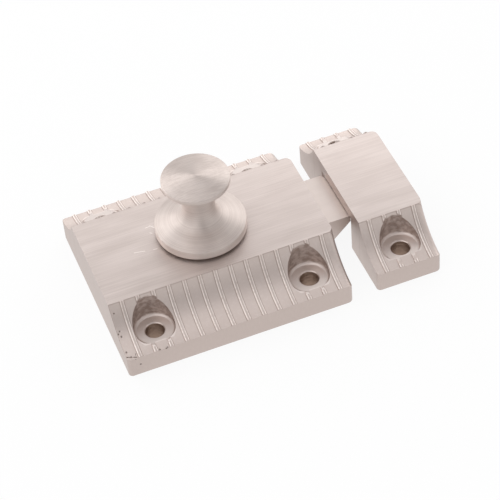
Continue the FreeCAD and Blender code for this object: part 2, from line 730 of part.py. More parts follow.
def make_crank_screw():
    body = new_body("crank_screw")
    head_bottom = crank_bottom - dim["crank_screw_head_height"]
    sketch = new_sketch(body, "XY_Plane", "head_circle", lift=head_bottom)
    circle(sketch, 0.0, 0.0, dim["crank_screw_head"])
    pad(body, sketch, "head", dim["crank_screw_head_height"])
    sketch = new_sketch(body, "XY_Plane", "shank_circle", lift=crank_bottom)
    circle(sketch, 0.0, 0.0, dim["crank_screw_radius"])
    pad(body, sketch, "shank", dim["crank_screw_length"])
    reach = dim["crank_screw_head"] + overcut
    half_slot = dim["driver_slot"] / 2
    sketch = new_sketch(body, "XY_Plane", "slot_outline", lift=head_bottom)
    rectangle(sketch, -reach, -half_slot, reach, half_slot)
    pocket(body, sketch, "slot", dim["driver_slot"])


def make_back_plate():
    """Flat steel plate with a tongue under the bolt and four countersunk holes."""
    body = new_body("back_plate")
    half_plate = dim["plate_width"] / 2
    rear = -(half_length - dim["plate_rear_gap"])
    shoulder = half_length - dim["plate_shoulder"]
    tongue_end = half_length - dim["plate_sink"]
    sketch = new_sketch(body, "XY_Plane", "plate_outline", lift=dim["plate_sink"])
    outline(sketch, [
        (rear, -half_plate),
        (shoulder, -half_plate),
        (shoulder, -half_bolt),
        (tongue_end, -half_bolt),
        (tongue_end, half_bolt),
        (shoulder, half_bolt),
        (shoulder, half_plate),
        (rear, half_plate),
    ])
    pad(body, sketch, "plate", dim["plate_thickness"])
    sketch = new_sketch(body, "XZ_Plane", "screw_section", lift=-dim["plate_screw_across"] / 2)
    along = dim["plate_screw_along"] / 2
    hole = dim["plate_screw_radius"] + dim["thread_clearance"]
    head = dim["plate_screw_head"] + dim["thread_clearance"]
    outline(sketch, [
        (along, -overcut),
        (along + head, -overcut),
        (along + head, dim["plate_sink"]),
        (along + hole, dim["plate_sink"] + head - hole),
        (along + hole, plate_top + overcut),
        (along, plate_top + overcut),
    ])
    upright_axis(sketch, along, plate_top)
    screw_hole = turn(body, sketch, "Groove", "screw_hole", "Axis0")
    in_four_quarters(body, screw_hole, "screw_holes")


def make_back_plate_screws():
    """Four countersunk screws, one body of four separate solids, made as one screw and its copies."""
    radius = dim["plate_screw_radius"].value
    head = dim["plate_screw_head"].value
    bottom = dim["plate_sink"].value
    slot = dim["driver_slot"].value
    cone = Part.makeCone(head, radius, head - radius, FreeCAD.Vector(0, 0, bottom))
    shank = Part.makeCylinder(radius, dim["plate_screw_length"].value, FreeCAD.Vector(0, 0, bottom))
    groove = Part.makeBox(head * 2, slot, slot, FreeCAD.Vector(-head, -slot / 2, bottom))
    screw = cone.fuse(shank).cut(groove)
    along = dim["plate_screw_along"].value / 2
    across = dim["plate_screw_across"].value / 2
    copies = []
    for side_x in (-1, 1):
        for side_y in (-1, 1):
            copies.append(screw.translated(FreeCAD.Vector(side_x * along, side_y * across, 0)))
    group = doc.addObject("Part::Feature", "back_plate_screws")
    group.Label = "back_plate_screws"
    group.Shape = Part.makeCompound(copies)
    pieces.append(group)


def make_bolt_spring():
    """Compression spring between the bolt's lug and its seat in the case's end wall."""
    seat = -(channel_rear + dim["spring_seat_depth"]).value
    lug = -dim["tail_rear"].value
    wire = dim["spring_wire"].value
    radius = dim["spring_radius"].value
    length = lug - seat - wire * 2
    helix = Part.makeHelix(length / dim["spring_coils"].value, length, radius)
    ring = Part.Wire(Part.makeCircle(wire, FreeCAD.Vector(radius, 0, 0), FreeCAD.Vector(0, 1, 0)))
    coil = Part.Wire(helix).makePipeShell([ring], True, True)
    turned = FreeCAD.Rotation(FreeCAD.Vector(0, 1, 0), 90)
    spring = doc.addObject("Part::Feature", "bolt_spring")
    spring.Label = "bolt_spring"
    spring.Shape = coil
    spring.Placement = FreeCAD.Placement(FreeCAD.Vector(seat + wire, 0, spring_height.value), turned)
    pieces.append(spring)


make_case()
make_strike()
make_bolt()
make_knob()
make_spindle()
make_spindle_washer()
make_crank()
make_crank_pin()
make_crank_screw()
make_back_plate()
make_back_plate_screws()
make_bolt_spring()
doc.recompute()

for item in doc.Objects:
    if "Invalid" in item.State or "Error" in item.State:
        raise RuntimeError(f"{item.Name} failed: {item.State}")

os.makedirs("parts", exist_ok=True)
for piece in pieces:
    shape = piece.Shape
    if shape.isNull() or not shape.isValid() or not shape.Solids:
        raise RuntimeError(f"{piece.Label} has no valid solid")
    shape.exportStep(f"parts/{piece.Label}.step")
    print(f"{piece.Label}: {len(shape.Solids)} solid, {shape.Volume:.1f} mm3, box {shape.BoundBox}")
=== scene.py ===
# %% [markdown]
# # A cabinet latch in satin nickel
# The object is a surface-mounted latch for a small door: a ribbed case with a mushroom-shaped turn knob,
# a sprung bolt that comes out of the case's end, and a separate strike that catches the bolt. The CAD
# model gives every shape its place. This script gives the metal its finish, in three steps: a studio
# with a camera, then one recipe for each finish, then the two pieces that are better as smooth surfaces
# than as CAD triangles, the knob and the spring.

# %% The CAD frame
import json
import math
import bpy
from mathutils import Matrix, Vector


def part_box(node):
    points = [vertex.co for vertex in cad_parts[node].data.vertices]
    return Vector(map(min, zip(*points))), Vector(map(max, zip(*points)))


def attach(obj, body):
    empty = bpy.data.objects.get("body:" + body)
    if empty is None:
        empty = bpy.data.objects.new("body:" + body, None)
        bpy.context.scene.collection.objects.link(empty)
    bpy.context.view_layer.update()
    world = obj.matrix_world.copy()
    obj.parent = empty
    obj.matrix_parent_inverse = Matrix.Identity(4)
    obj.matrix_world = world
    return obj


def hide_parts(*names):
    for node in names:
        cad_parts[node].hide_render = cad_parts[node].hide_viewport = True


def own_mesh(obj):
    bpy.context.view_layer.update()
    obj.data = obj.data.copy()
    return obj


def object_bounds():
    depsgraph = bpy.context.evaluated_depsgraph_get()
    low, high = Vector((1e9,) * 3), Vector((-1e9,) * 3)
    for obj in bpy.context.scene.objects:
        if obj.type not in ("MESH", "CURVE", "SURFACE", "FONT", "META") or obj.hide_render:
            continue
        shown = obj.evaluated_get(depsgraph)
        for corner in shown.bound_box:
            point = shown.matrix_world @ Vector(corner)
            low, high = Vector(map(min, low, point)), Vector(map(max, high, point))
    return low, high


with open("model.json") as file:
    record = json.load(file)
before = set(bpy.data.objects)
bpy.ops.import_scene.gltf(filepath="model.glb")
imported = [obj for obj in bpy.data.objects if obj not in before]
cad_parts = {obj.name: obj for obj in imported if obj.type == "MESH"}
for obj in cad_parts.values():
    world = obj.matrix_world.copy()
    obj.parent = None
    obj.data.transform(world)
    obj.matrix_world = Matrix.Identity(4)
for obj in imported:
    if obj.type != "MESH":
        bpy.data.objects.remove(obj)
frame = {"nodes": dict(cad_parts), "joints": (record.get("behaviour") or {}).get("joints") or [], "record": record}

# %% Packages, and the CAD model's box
from types import SimpleNamespace

import bpy
import numpy as np
from mathutils import Matrix, Vector

MM = 0.001
cad_box = [list(corner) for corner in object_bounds()]
print("CAD box in mm:", [[round(value / MM, 2) for value in corner] for corner in cad_box])

# %% [markdown]
# ## The camera
# A photograph fixes its own camera: parallel edges of the case lean towards each other by an amount that
# gives the distance, and the rectangle of its four screw holes gives the direction. The camera here looks
# from the left and above, turned a little about its own line of sight, through a long lens.

# %% Camera
PHOTO_PIXELS = 500
FOCAL_PIXELS = 1952.0
SENSOR = 36.0
camera_azimuth = math.radians(17.32)
camera_elevation = math.radians(46.10)
camera_roll = math.radians(-5.61)
camera_distance = 474.9 * MM
looked_at = np.array([10.49, -3.72, 5.0]) * MM


def camera_axes(azimuth, elevation, roll):
    """Right, up and forward. Forward drops by the elevation, right is level, and roll turns both."""
    flat = math.cos(elevation)
    forward = np.array([math.sin(azimuth) * flat, math.cos(azimuth) * flat, -math.sin(elevation)])
    right = np.cross(forward, (0.0, 0.0, 1.0))
    right /= np.linalg.norm(right)
    up = np.cross(right, forward)
    cosine, sine = math.cos(roll), math.sin(roll)
    return cosine * right + sine * up, cosine * up - sine * right, forward


right, up, forward = camera_axes(camera_azimuth, camera_elevation, camera_roll)
camera_data = bpy.data.cameras.new("camera")
camera_data.sensor_width = SENSOR
camera_data.lens = FOCAL_PIXELS * SENSOR / PHOTO_PIXELS
camera_data.clip_start = 1 * MM
camera = bpy.data.objects.new("camera", camera_data)
turned = np.eye(4)
turned[:3, 0], turned[:3, 1], turned[:3, 2] = right, up, -forward
turned[:3, 3] = looked_at - forward * camera_distance
camera.matrix_world = Matrix(turned)
bpy.context.scene.collection.objects.link(camera)
bpy.context.scene.camera = camera
bpy.context.scene.view_settings.view_transform = "Standard"
print(f"lens {camera_data.lens:.1f} mm, camera at {[round(value / MM) for value in turned[:3, 3]]} mm")

# %% [markdown]
# ## Expressions instead of node wiring
# A finish is arithmetic on a few patterns, so it is easier to read as arithmetic. A `Signal` wraps one
# socket of a material. Adding or multiplying signals adds Math nodes, and every other node comes from its
# one method `node`, which takes the node's type, its settings and the values or signals of its sockets.

# %% Signals
class Signal:
    """A number, a place or a colour on its way through a material's nodes."""

    def __init__(self, tree, socket=None):
        self.tree = tree
        self.socket = socket

    def node(self, kind, settings, values, output=0):
        """Adds a node and gives back one of its outputs. Settings come first, then its sockets."""
        made = self.tree.nodes.new("ShaderNode" + kind)
        for name, value in settings.items():
            setattr(made, name, value)
        for name, value in values.items():
            if isinstance(value, Signal):
                self.tree.links.new(value.socket, made.inputs[name])
            else:
                made.inputs[name].default_value = value
        return Signal(self.tree, made.outputs[output] if made.outputs else None)

    def maths(self, operation, *values):
        """Adds a Math node for one, two or three values."""
        return self.node("Math", {"operation": operation}, dict(enumerate(values)))

    def __add__(self, other):
        return self.maths("ADD", self, other)

    def __sub__(self, other):
        return self.maths("SUBTRACT", self, other)

    def __rsub__(self, other):
        return self.maths("SUBTRACT", other, self)

    def __mul__(self, other):
        return self.maths("MULTIPLY", self, other)

    __radd__ = __add__
    __rmul__ = __mul__


# %% Words for finishes
def place_on_part(start):
    """The place of each point on the part, in millimetres."""
    metres = start.node("TexCoord", {}, {}, "Object")
    return start.node("VectorMath", {"operation": "SCALE"}, {"Vector": metres, "Scale": 1 / MM})


def along(direction, axis):
    """One of X, Y and Z of a place or of a direction."""
    return direction.node("SeparateXYZ", {}, {"Vector": direction}, axis)


def unsigned(value):
    """A number without its sign."""
    return value.maths("ABSOLUTE", value)


def facing(start):
    """The direction that the plain surface faces, before any bump."""
    return start.node("NewGeometry", {}, {}, "Normal")


def rises(value, low, high):
    """0 below low, 1 above high and an S-curve between. It falls instead where low is the larger."""
    settings = {"interpolation_type": "SMOOTHSTEP"}
    return value.node("MapRange", settings, {"Value": value, "From Min": low, "From Max": high})


def grain(place, per_mm, detail=2.0, start=(0.0, 0.0, 0.0)):
    """Smooth noise about 0.5, with so many grains to the millimetre along X, Y and Z."""
    stretched = place.node("Mapping", {}, {"Vector": place, "Location": start, "Scale": per_mm})
    return place.node("TexNoise", {}, {"Vector": stretched, "Scale": 1.0, "Detail": detail})


def near(place, spot, radius):
    """1 at a spot, falling to 0 at its radius."""
    distance = place.node("VectorMath", {"operation": "DISTANCE"}, {0: place, 1: spot}, "Value")
    return rises(distance, radius, 0.0)


def mark(place, start, stop, width):
    """1 along a straight mark from start to stop, falling to 0 at its width.

    The share of the way is the dot product of (place - start) with (stop - start), over the square of the
    mark's length, kept between 0 and 1. The mask comes from the distance to the point at that share.
    """
    start, stop = np.array(start), np.array(stop)
    way = (stop - start) / np.sum((stop - start) ** 2)
    from_start = place.node("VectorMath", {"operation": "SUBTRACT"}, {0: place, 1: tuple(start)})
    share = place.node("VectorMath", {"operation": "DOT_PRODUCT"}, {0: from_start, 1: tuple(way)}, "Value")
    share = share.node("Clamp", {}, {"Value": share})
    foot = place.node("VectorMath", {"operation": "SCALE"}, {"Vector": tuple(stop - start), "Scale": share})
    distance = place.node("VectorMath", {"operation": "DISTANCE"}, {0: from_start, 1: foot}, "Value")
    return rises(distance, width, 0.0)


def strongest(masks):
    """The largest of several masks at each point."""
    together = masks[0]
    for mask in masks[1:]:
        together = together.maths("MAXIMUM", together, mask)
    return together


def tint(share, low, high):
    """Low's colour where share is 0, and high's where it is 1."""
    return share.node("Mix", {"data_type": "RGBA"}, {0: share, 6: (*low, 1.0), 7: (*high, 1.0)}, 2)


def between(share, low, high):
    """Low's colour signal where share is 0, and high's colour where it is 1."""
    return share.node("Mix", {"data_type": "RGBA"}, {0: share, 6: low, 7: (*high, 1.0)}, 2)


# %% One function for every metal
QUARTER_TURN = 0.25


def metal(name, recipe, edge=0.0, anisotropic=0.0):
    """A metal whose recipe gives its colour, its roughness and its height in millimetres.

    Edge is the radius in millimetres by which the shader softens the corners of the shape. Anisotropic is
    how strongly fine lines round the Z axis spread each highlight across themselves. The shader by itself
    spreads it along them, so its rotation is always a quarter turn.
    """
    material = bpy.data.materials.new(name)
    material.use_nodes = True
    material.node_tree.nodes.clear()
    start = Signal(material.node_tree)
    color, roughness, height = recipe(start)
    relief = {"Height": height, "Distance": MM}
    if edge:
        relief["Normal"] = start.node("Bevel", {"samples": 6}, {"Radius": edge * MM})
    shader = start.node("BsdfPrincipled", {}, {
        "Base Color": color, "Roughness": roughness, "Normal": start.node("Bump", {}, relief),
        "Metallic": 1.0, "Anisotropic": anisotropic, "Anisotropic Rotation": QUARTER_TURN,
    })
    start.node("OutputMaterial", {}, {"Surface": shader})
    print(f"{name}: {len(material.node_tree.nodes)} nodes")
    return material


# %% [markdown]
# ## The studio
# Satin metal has hardly any colour of its own: it shows the room. The room is a pale one, white at the
# horizon and greyer overhead, with a dim patch where the photographer stands. Five soft boxes do the rest.
# A large one at the front left fills the coves. Two behind, at the left and at the right, give the flat
# tops and the knob's sides their glow. Two weak ones, low behind and overhead, lighten what is between.
#
# The floor is white paper. The camera sees nine tenths of it as plain white and one tenth as lit paper,
# which is enough to keep the object's shadow, and reflections see it white.

# %% Floor
FLOOR_SIZE = 3.0
FLOOR_DROP = 0.01 * MM
PAPER = (0.9, 0.9, 0.9, 1.0)
PLAIN_WHITE_SHARE = 0.9
floor_mesh = bpy.data.meshes.new("floor")
corners = np.array([[-1, -1, 0], [1, -1, 0], [1, 1, 0], [-1, 1, 0]]) * FLOOR_SIZE / 2
corners[:, 2] = cad_box[0][2] - FLOOR_DROP
floor_mesh.from_pydata(corners.tolist(), [], [[0, 1, 2, 3]])
floor = bpy.data.objects.new("floor", floor_mesh)
bpy.context.scene.collection.objects.link(floor)

paper = bpy.data.materials.new("white_paper")
paper.use_nodes = True
paper.node_tree.nodes.clear()
start = Signal(paper.node_tree)
camera_ray, glossy_ray, glass_ray = (
    start.node("LightPath", {}, {}, f"Is {kind} Ray") for kind in ("Camera", "Glossy", "Transmission"))
seen = camera_ray * PLAIN_WHITE_SHARE + glossy_ray.maths("MAXIMUM", glossy_ray, glass_ray)
matt = start.node("BsdfDiffuse", {}, {"Color": PAPER})
white = start.node("Emission", {}, {"Color": (1.0, 1.0, 1.0, 1.0), "Strength": 1.0})
both = start.node("MixShader", {}, {0: seen, 1: matt, 2: white})
start.node("OutputMaterial", {}, {"Surface": both})
floor_mesh.materials.append(paper)
print(f"floor {FLOOR_SIZE:.0f} m wide, {FLOOR_DROP / MM:.2f} mm below the object")

# %% Sky
HORIZON, OVERHEAD, PHOTOGRAPHER = (1.0, 1.0, 1.0), (0.76, 0.76, 0.77), (0.25, 0.25, 0.26)
WORLD_STRENGTH = 0.8
world = bpy.data.worlds.new("studio")
world.use_nodes = True
world.node_tree.nodes.clear()
start = Signal(world.node_tree)
way = start.node("TexCoord", {}, {}, "Generated")
sky = tint(rises(along(way, "Z"), 0.4, 0.95), HORIZON, OVERHEAD)
towards_camera = way.node("VectorMath", {"operation": "DOT_PRODUCT"}, {0: way, 1: tuple(-forward)}, "Value")
sky = between(rises(towards_camera, 0.90, 0.94), sky, PHOTOGRAPHER)
background = start.node("Background", {}, {"Color": sky, "Strength": WORLD_STRENGTH})
start.node("OutputWorld", {}, {"Surface": background})
bpy.context.scene.world = world


# %% Soft boxes
SOFT_BOXES = {
    "front_left_box": ((-0.50, -0.25, 0.76), (1.20, 0.90), 2.4),
    "back_right_box": ((0.62, 0.58, 0.45), (0.90, 0.60), 1.8),
    "back_left_box": ((-0.55, 0.62, 0.48), (0.90, 0.60), 2.1),
    "back_box": ((0.0, 0.90, 0.29), (0.90, 0.45), 0.8),
    "top_box": ((0.1, 0.0, 0.95), (0.90, 0.60), 0.7),
}


def softbox(name, place, size, watts):
    """A rectangular area light at a place in metres, aimed at the middle of the object."""
    light = bpy.data.lights.new(name, "AREA")
    light.shape = "RECTANGLE"
    light.size, light.size_y = size
    light.energy = watts
    lamp = bpy.data.objects.new(name, light)
    lamp.location = place
    lamp.rotation_euler = (Vector(looked_at) - Vector(place)).to_track_quat("-Z", "Y").to_euler()
    bpy.context.scene.collection.objects.link(lamp)


for name, (place, size, watts) in SOFT_BOXES.items():
    softbox(name, place, size, watts)
    print(f"{name}: {watts} W")

# %% [markdown]
# ## Brushed tops and cast coves
# Case and strike are zinc castings. After casting their flat tops are run along a belt, which leaves fine
# lines along the bolt, and the coves and screw recesses keep the softer skin of the mould. One recipe
# covers both castings, with masks made from the height and direction of each point. The places of the
# screw recesses come from the record's own screw mounts.
# Some masks paint light and shade into the colour: shade on the steep sides, at the feet and down the middle of
# the ribs, along the creases, in the screw holes and beside one notch, and highlights on the upper edges of the
# ribs and light on the recess floors.

# %% Screw places from the record
mounts = {mount["name"]: mount for mount in frame["record"]["mounts"]}
case_screws, strike_screws = mounts["case_screws"], mounts["strike_screws"]
screw_along = case_screws["dims"]["spacing_x_mm"] / 2
screw_across = case_screws["dims"]["spacing_y_mm"] / 2
strike_along = strike_screws["pos_m"][0] / MM
print(f"screws at +-{screw_along:.1f} and {strike_along:.1f} along, +-{screw_across:.1f} across")

# %% Colours of the plate
# The first two are the belt's darker and lighter strokes on the flat tops.
NICKEL = (0.590, 0.510, 0.476)
NICKEL_LIGHT = (0.710, 0.627, 0.592)
NICKEL_CAST = (0.640, 0.550, 0.510)
# Painted shade on the steep sides of the castings and the bolt.
NICKEL_SHADED_SIDE = (0.560, 0.476, 0.440)
# Bright nickel for real scratches, and for painted highlights on the ribs and painted light on the recess floors.
NICKEL_SCRATCH_AND_HIGHLIGHT = (0.880, 0.800, 0.760)
# Dark nickel for random blotches on the recess walls, and for painted shade on the ribs and along the creases.
NICKEL_BLOTCH_AND_SHADE = (0.390, 0.310, 0.275)
# Painted shade inside the screw holes.
HOLE_SHADE = (0.350, 0.250, 0.195)
# Near black for real pits and cracks, and for painted shade beside one recess notch.
PIT_AND_NOTCH_SHADE = (0.100, 0.070, 0.060)
# The ground bolt and the turned knob go from their darker to their brighter strokes.
NICKEL_TURNED, NICKEL_POLISHED = (0.640, 0.556, 0.516), (0.775, 0.687, 0.645)
NICKEL_LATHE, NICKEL_LATHE_LIGHT = (0.600, 0.521, 0.483), (0.726, 0.644, 0.604)


# %% Where the castings are worn and pitted, and where shade is painted beside a notch
# All in millimetres. The pits, cracks and scratches lie where the photograph shows them. The last
# two spots are painted shade beside the notch where a screw recess breaks through the back edge of the top.
RECESS_RADIUS, RECESS_FLOOR, HOLE_RADIUS = 5.0, 6.1, 2.25
RIB_PITCH, RIB_SHOULDER, RIB_FOOT = 3.877, 0.34, 0.58
TOP_HALF_WIDTH, TOPS_FROM, STRIKE_FROM = 14.1, 12.6, 32.0
PIT_RADIUS, MARK_WIDTH = 0.36, 0.20
PITS_AND_NOTCH_SHADE = (
    (-27.7, -18.5, 8.5), (-28.2, -19.0, 8.2), (-27.7, -19.6, 7.8), (-27.7, -15.4, 11.6),
    (-27.9, -23.2, 6.1), (-27.3, -24.7, 5.7), (-20.4, -25.2, 5.7), (-18.9, -25.5, 5.6),
    # The last two spots on the next line are painted shade beside a recess notch, not pits.
    (-18.5, -25.3, 5.7), (-25.5, -25.5, 3.2), (-21.3, 14.3, 13.4), (-20.7, 14.3, 13.4),
)
CRACKS = (
    ((-28.3, -24.4, 5.8), (-26.1, -25.2, 5.7)), ((-26.0, -24.2, 5.8), (-26.5, -25.5, 5.4)),
)
SCRATCHES = (
    ((-17.4, -0.8, 13.6), (-15.0, -1.3, 13.6)), ((-12.8, -1.7, 13.6), (-12.0, -1.8, 13.6)),
    ((-11.0, 6.2, 13.6), (-10.3, 5.2, 13.6)), ((-12.3, 5.9, 13.6), (-11.0, 6.1, 13.6)),
    ((-11.8, 3.9, 13.6), (-11.4, 3.6, 13.6)),
)
print(len(PITS_AND_NOTCH_SHADE), "pits,", len(CRACKS), "cracks and", len(SCRATCHES), "scratches")


# %% Distances that the masks start from
def distance_to_screw(place):
    """How far a point is from the axis of the nearest screw recess, in millimetres."""
    x, y = along(place, "X"), along(place, "Y")
    on_case = unsigned(x) - screw_along
    on_strike = x - strike_along
    side = x.maths("MINIMUM", unsigned(on_case), unsigned(on_strike))
    across = unsigned(y) - screw_across
    return x.maths("SQRT", side * side + across * across)


def rib_lines(place):
    """Two masks for the ribs: painted highlights along both upper edges of each rib, and painted shade
    in the dark lines between and beside them.

    The ribs stand at a steady pitch, with the middle between two ribs at the middle of each casting.
    """
    x = along(place, "X")
    on_strike = x.maths("GREATER_THAN", x, STRIKE_FROM)
    beside = x.maths("WRAP", x - on_strike * strike_along, RIB_PITCH, 0.0) - RIB_PITCH / 2
    off_middle = unsigned(beside)
    # Painted highlights along both upper edges of each rib.
    shoulder_highlights = rises(unsigned(off_middle - RIB_SHOULDER), 0.17, 0.05)
    # Painted shade at the feet of each rib and down its middle.
    rib_line_shade = rises(unsigned(off_middle - RIB_FOOT), 0.13, 0.02)
    return shoulder_highlights, strongest([rib_line_shade, rises(off_middle, 0.14, 0.02) * 0.6])


# %% Noises of the castings
def casting_noises(place):
    """Six noises. Strokes, lines and clouds are long along X, the way the belt runs.

    Skin is even in all directions, draw_lines are taller than wide, and blotches are about a millimetre.
    """
    return SimpleNamespace(
        strokes=grain(place, (0.04, 3.2, 3.2), 3.0),
        lines=grain(place, (0.10, 8.0, 8.0), 2.0, (5.0, 0.0, 3.0)),
        clouds=grain(place, (0.07, 0.30, 0.30), 2.0),
        skin=grain(place, (1.6, 1.6, 1.6), 4.0),
        draw_lines=grain(place, (2.2, 2.2, 0.7), 4.0, (2.0, 0.0, 0.0)),
        blotches=grain(place, (0.8, 0.8, 1.1), 5.0, (1.0, 4.0, 0.0)),
    )


# %% Masks of the castings
def casting_masks(place, upward, skin):
    """Masks for the regions and the marks of a casting. Upward is the Z part of the surface's direction.

    Flat is a level face near the top, recess is all within a screw recess, with its wall, its floor and
    its hole, and upright is a steep face. Ribbed is what is left, the coves. Crease is the line where a
    cove meets the flat top, where the colour paints shade. The colour also paints light onto the recess
    floor, and shade onto the steep faces, into the hole and along the ribs.
    """
    y, z = along(place, "Y"), along(place, "Z")
    off_axis = distance_to_screw(place)
    flat = rises(upward, 0.96, 0.99) * rises(z, TOPS_FROM, TOPS_FROM + 0.3)
    recess = rises(off_axis, RECESS_RADIUS + 0.12, RECESS_RADIUS + 0.02)
    upright = rises(upward, 0.6, 0.1)
    shoulder_highlights, rib_line_shade = rib_lines(place)
    off_crease = unsigned(y) - (TOP_HALF_WIDTH + 0.02)
    cracks = strongest([mark(place, first, last, MARK_WIDTH) for first, last in CRACKS])
    return SimpleNamespace(
        flat=flat, recess=recess, upright=upright, shoulder_highlights=shoulder_highlights, rib_line_shade=rib_line_shade,
        wall=recess * rises(upward, 0.75, 0.25),
        recess_floor_light=recess * rises(upward, 0.85, 0.98) * rises(z, RECESS_FLOOR, RECESS_FLOOR + 0.08),
        hole=rises(off_axis, HOLE_RADIUS + 0.07, HOLE_RADIUS + 0.02),
        ribbed=(1 - flat) * (1 - recess) * (1 - upright),
        crease_shade=rises(unsigned(off_crease), 0.16, 0.02),
        pits_and_notch_shade=strongest([near(place, spot, PIT_RADIUS) for spot in PITS_AND_NOTCH_SHADE]),
        cracks=cracks * rises(skin, 0.40, 0.55),
        scratches=strongest([mark(place, first, last, MARK_WIDTH) for first, last in SCRATCHES]),
    )


# %% Recipe for the castings
TOP_CROWN = 0.0028


def casting_color(noise, mask):
    """The strokes of the belt come first. Each further line lays one colour over what is below it."""
    belt = rises(noise.clouds * 0.40 + noise.strokes * 0.35 + noise.lines * 0.25, 0.30, 0.70)
    color = tint(belt, NICKEL, NICKEL_LIGHT)
    for share, over in (
        (1 - mask.flat, NICKEL_CAST),
        # Painted shade on the steep sides.
        (mask.upright, NICKEL_SHADED_SIDE),
        (mask.upright * rises(noise.draw_lines, 0.40, 0.80) * 0.25, NICKEL_CAST),
        (mask.ribbed * rises(noise.skin, 0.45, 0.75) * 0.4, NICKEL_LIGHT),
        # Painted highlights on the upper edges of the ribs.
        (mask.ribbed * mask.shoulder_highlights * rises(noise.skin, 0.20, 0.55), NICKEL_SCRATCH_AND_HIGHLIGHT),
        # Painted shade at the feet and down the middle of the ribs.
        (mask.ribbed * mask.rib_line_shade * 0.7, NICKEL_BLOTCH_AND_SHADE),
        # Painted shade along the edge where a cove meets the flat top.
        (mask.crease_shade * (1 - mask.recess) * 0.5, NICKEL_BLOTCH_AND_SHADE),
        # Painted light on the recess floors, against the shade of their walls.
        (mask.recess_floor_light * 0.6, NICKEL_SCRATCH_AND_HIGHLIGHT),
        (mask.wall * rises(noise.blotches, 0.66, 0.36), NICKEL_BLOTCH_AND_SHADE),
        # Painted shade inside the screw holes.
        (mask.hole, HOLE_SHADE),
        (mask.scratches, NICKEL_SCRATCH_AND_HIGHLIGHT),
        # Real pits and cracks, and painted shade beside a recess notch.
        (strongest([mask.pits_and_notch_shade, mask.cracks]), PIT_AND_NOTCH_SHADE),
    ):
        color = between(share, color, over)
    return color


def castings(start):
    """Belt lines on the flat tops, which fall by the crown times y squared, and a rough skin elsewhere.

    Each noise is about 0.5, so (noise - 0.5) times a number of millimetres goes as far up as down.
    """
    place = place_on_part(start)
    y = along(place, "Y")
    noise = casting_noises(place)
    mask = casting_masks(place, along(facing(start), "Z"), noise.skin)
    roughness = (0.46 - 0.02 * (1 - mask.flat) + 0.08 * mask.wall + 0.10 * (noise.clouds - 0.5)
                 - 0.10 * mask.scratches)
    crown = y * y * -TOP_CROWN
    brushed = ((noise.strokes - 0.5) * 0.014 + (noise.lines - 0.5) * 0.012 + crown
               + mask.scratches * 0.02)
    cast = ((noise.skin - 0.5) * 0.012 + mask.upright * (noise.draw_lines - 0.5) * 0.02
            + mask.wall * (noise.blotches - 0.5) * 0.22)
    height = mask.flat * brushed + (1 - mask.flat) * cast - 0.12 * mask.pits_and_notch_shade - 0.08 * mask.cracks
    return casting_color(noise, mask), roughness, height


casting_metal = metal("satin_nickel_casting", castings, edge=0.06)


# %% Recipe for the bolt
def ground_block(start):
    """Long strokes along X, the way the bolt is ground, with painted shade on the upright sides."""
    place = place_on_part(start)
    strokes = grain(place, (0.12, 8.0, 8.0), 3.0, (9.0, 0.0, 0.0))
    clouds = grain(place, (0.10, 0.4, 0.4), 2.0)
    upward = along(facing(start), "Z")
    color = tint(clouds * 0.6 + strokes * 0.4, NICKEL_TURNED, NICKEL_POLISHED)
    # Painted shade on the upright sides.
    color = between(rises(upward, 0.6, 0.1), color, NICKEL_SHADED_SIDE)
    return color, 0.40 + 0.08 * strokes, (strokes - 0.5) * 0.010


bolt_metal = metal("satin_nickel_block", ground_block, edge=0.15)


# %% [markdown]
# ## Turned nickel
# The knob is turned in a lathe, so its fine lines run round it. Such lines spread each highlight across
# themselves, up and down the flare and from the middle of the dome to its rim. So each sector of the knob
# shows one strip of the room: the sides show the soft boxes, and the front shows the dim patch where the
# photographer stands. That makes the bright fans and the dark wedge of a brushed knob, and the shader's
# Anisotropic setting does it.

# %% The knob's height
knob_low, knob_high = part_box("knob")
bottom, top = knob_low.z / MM, knob_high.z / MM
print(f"knob from {bottom:.1f} to {top:.1f} mm above the door")


# %% Recipe for the knob
def turned_blank(start):
    """Noise of the radius and the height alone gives rings. The dome also has the belt's strokes along X."""
    place = place_on_part(start)
    x, y, z = along(place, "X"), along(place, "Y"), along(place, "Z")
    radius = x.maths("SQRT", x * x + y * y)
    rings_at = start.node("CombineXYZ", {}, {"X": radius, "Y": z, "Z": 0.0})
    rings = grain(rings_at, (7.0, 7.0, 1.0), 4.0)
    fine = grain(rings_at, (20.0, 20.0, 1.0), 2.0)
    clouds = grain(place, (0.2, 0.2, 0.2), 2.0)
    strokes = grain(place, (0.15, 4.0, 4.0), 3.0, (3.0, 0.0, 0.0))
    on_dome = rises(z, top - 1.2, top - 0.8)
    lines = rings * 0.5 + fine * 0.25 + (strokes - rings) * on_dome * 0.4
    color = tint(rises(lines + clouds * 0.25, 0.38, 0.62), NICKEL_LATHE, NICKEL_LATHE_LIGHT)
    return color, 0.42 + 0.08 * rings, (rings - 0.5) * 0.010 + (fine - 0.5) * 0.005


knob_metal = metal("satin_nickel_turning", turned_blank, anisotropic=0.85)


# %% Recipes for the steel inside
STEEL, STEEL_LIGHT = (0.50, 0.50, 0.51), (0.66, 0.66, 0.67)
ZINC, ZINC_LIGHT = (0.47, 0.46, 0.44), (0.60, 0.59, 0.57)
WIRE, WIRE_LIGHT = (0.26, 0.26, 0.27), (0.40, 0.40, 0.41)


def bright_steel(start):
    """Half-millimetre wear marks, rougher where they are lighter."""
    place = place_on_part(start)
    wear = grain(place, (2.0, 2.0, 2.0), 3.0)
    return tint(wear, STEEL, STEEL_LIGHT), 0.25 + 0.15 * wear, (wear - 0.5) * 0.004


